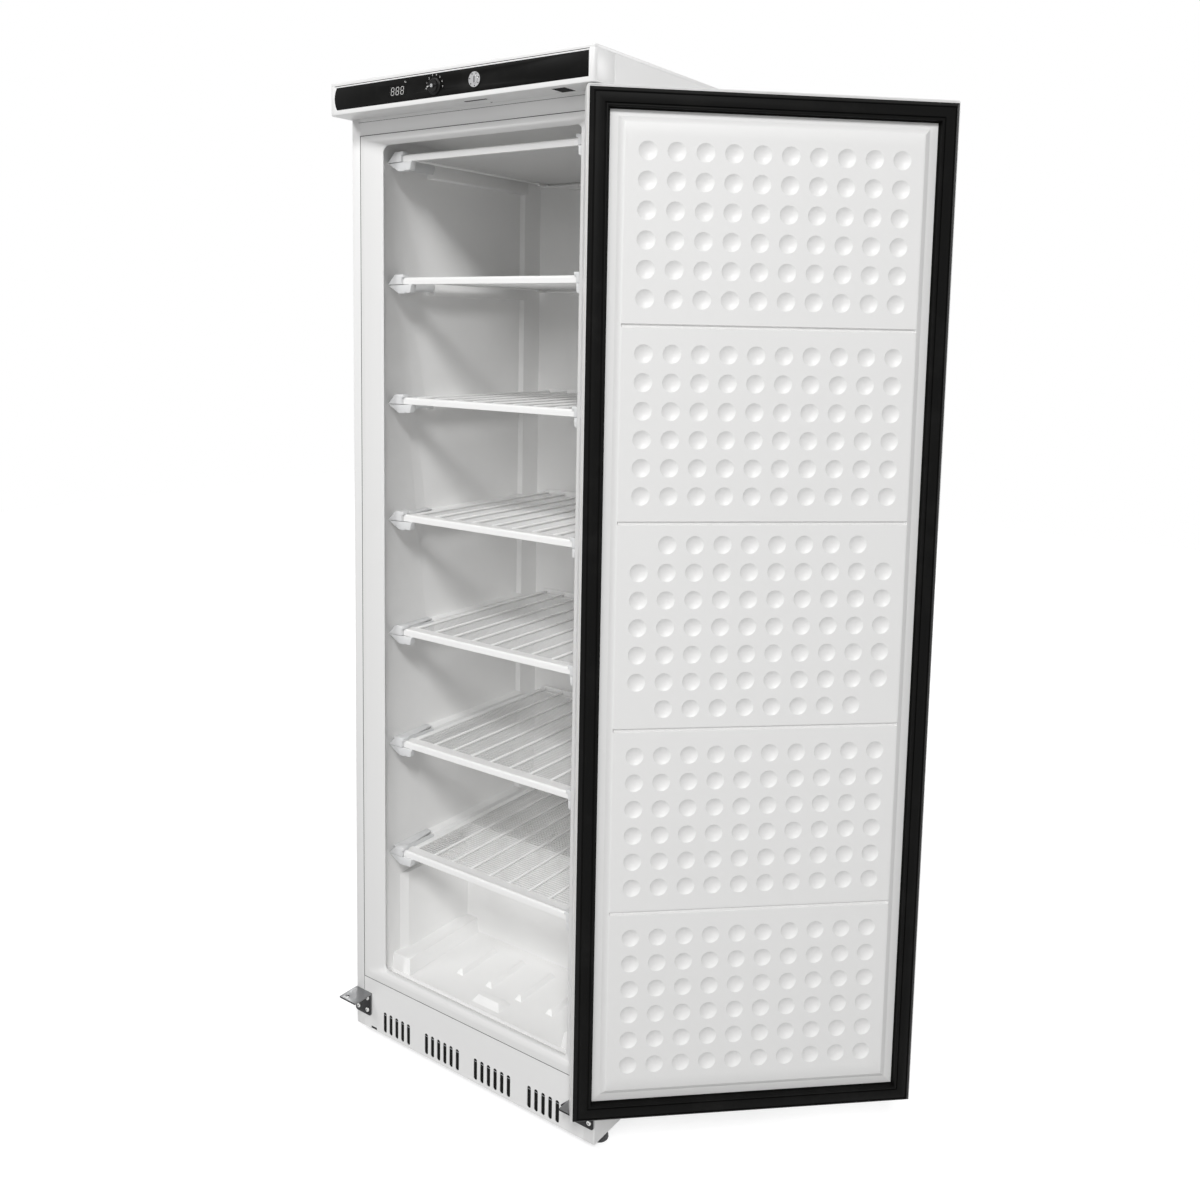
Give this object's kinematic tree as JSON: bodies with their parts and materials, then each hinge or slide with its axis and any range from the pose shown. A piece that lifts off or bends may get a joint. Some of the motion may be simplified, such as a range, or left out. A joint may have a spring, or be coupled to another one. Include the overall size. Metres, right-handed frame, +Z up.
{
  "type": "upright freezer",
  "caption": "Free-standing upright storage freezer with its door swung open, showing a moulded tub with wire shelves, a dimpled door lining, a control canopy and a machine bay at the back",
  "frame": {"origin": "on the floor, under the middle of the front face of the cabinet", "axes": "+X to the cabinet's right as its user sees it, +Y to the back, +Z up"},
  "size_m": [1.0324, 0.6198, 1.855],
  "materials": {
    "white_steel": "smooth baked enamel, satin",
    "grey_steel": "galvanised sheet",
    "white_plastic": "vacuum-formed lining, satin",
    "canopy_plastic": "moulded, soft gloss",
    "dark_plastic": "smoked, polished",
    "black_plastic": "moulded, matt",
    "grey_plastic": "moulded, matt",
    "gasket_rubber": "soft extruded, satin",
    "grommet_rubber": "moulded",
    "foam": "rigid foamed filling",
    "white_wire": "white coated wire",
    "zinc": "zinc plated, brushed",
    "chrome": "bright plated",
    "black_paint": "black enamel",
    "copper": "drawn tube"
  },
  "bodies": {
    "cabinet": {"back_panel": "grey_steel", "base_grille": "white_steel", "base_rails": "grey_steel", "bottom_panel": "grey_steel", "cabinet_foam": "foam", "canopy_fascia": "canopy_plastic", "compressor": "black_paint", "compressor_grommets": "grommet_rubber", "compressor_tray": "grey_steel", "condenser_brackets": "black_plastic", "condenser_tube": "black_paint", "condenser_wires": "black_paint", "control_panel": "dark_plastic", "display_lens": "dark_plastic", "display_module": "black_plastic", "evaporator_risers": "white_wire", "filter_drier": "copper", "foot_nuts": "zinc", "front_frame": "white_plastic", "header_rail": "white_steel", "hinge_pins": "zinc", "hinge_screws": "zinc", "inner_liner": "white_plastic", "lock_housing": "chrome", "lock_nut": "zinc", "lower_hinge_bracket": "zinc", "power_inlet": "white_plastic", "refrigerant_pipes": "copper", "relay_box": "black_plastic", "shelf_1": "white_wire", "shelf_2": "white_wire", "shelf_3": "white_wire", "shelf_4": "white_wire", "shelf_5": "white_wire", "shelf_6": "white_wire", "shelf_7": "white_wire", "shelf_clips": "white_plastic", "shelf_wires": "white_wire", "side_panel_left": "white_steel", "side_panel_right": "white_steel", "spare_hinge_bracket": "zinc", "thermostat_body": "black_plastic", "top_cover": "canopy_plastic", "top_hinge_bracket": "zinc", "top_panel": "grey_steel"},
    "door": {"door_outer_skin": "white_steel", "door_inner_panel": "white_plastic", "door_gasket": "gasket_rubber", "door_handle_insert": "grey_plastic", "door_lock_keeper": "grey_plastic", "door_bushes": "grey_plastic", "door_foam": "foam"},
    "thermostat": {"thermostat_knob": "canopy_plastic", "thermostat_shaft": "zinc"},
    "lock": {"lock_barrel": "chrome", "lock_cam": "zinc"},
    "foot_front_left": {"foot_front_left": "black_plastic"},
    "foot_front_right": {"foot_front_right": "black_plastic"},
    "foot_rear_left": {"foot_rear_left": "black_plastic"},
    "foot_rear_right": {"foot_rear_right": "black_plastic"}
  },
  "joints": [
    {"name": "door_hinge", "type": "hinge", "parent": "cabinet", "child": "door", "pos_m": [0.2845, -0.036, 0], "axis": [0, 0, 1], "range_deg": [-221.8, 0]},
    {"name": "thermostat_turn", "type": "hinge", "parent": "cabinet", "child": "thermostat", "pos_m": [-0.0361, -0.052, 1.8246], "axis": [0, 1, 0], "range_deg": [0, 190]},
    {"name": "lock_turn", "type": "hinge", "parent": "cabinet", "child": "lock", "pos_m": [0.055, -0.03, 1.8263], "axis": [0, -1, 0], "range_deg": [0, 90]},
    {"name": "foot_front_left_screw", "type": "slide", "parent": "cabinet", "child": "foot_front_left", "axis": [0, 0, -1], "range_m": [0, 0.01]},
    {"name": "foot_front_right_screw", "type": "slide", "parent": "cabinet", "child": "foot_front_right", "axis": [0, 0, -1], "range_m": [0, 0.01]},
    {"name": "foot_rear_left_screw", "type": "slide", "parent": "cabinet", "child": "foot_rear_left", "axis": [0, 0, -1], "range_m": [0, 0.01]},
    {"name": "foot_rear_right_screw", "type": "slide", "parent": "cabinet", "child": "foot_rear_right", "axis": [0, 0, -1], "range_m": [0, 0.01]}
  ]
}
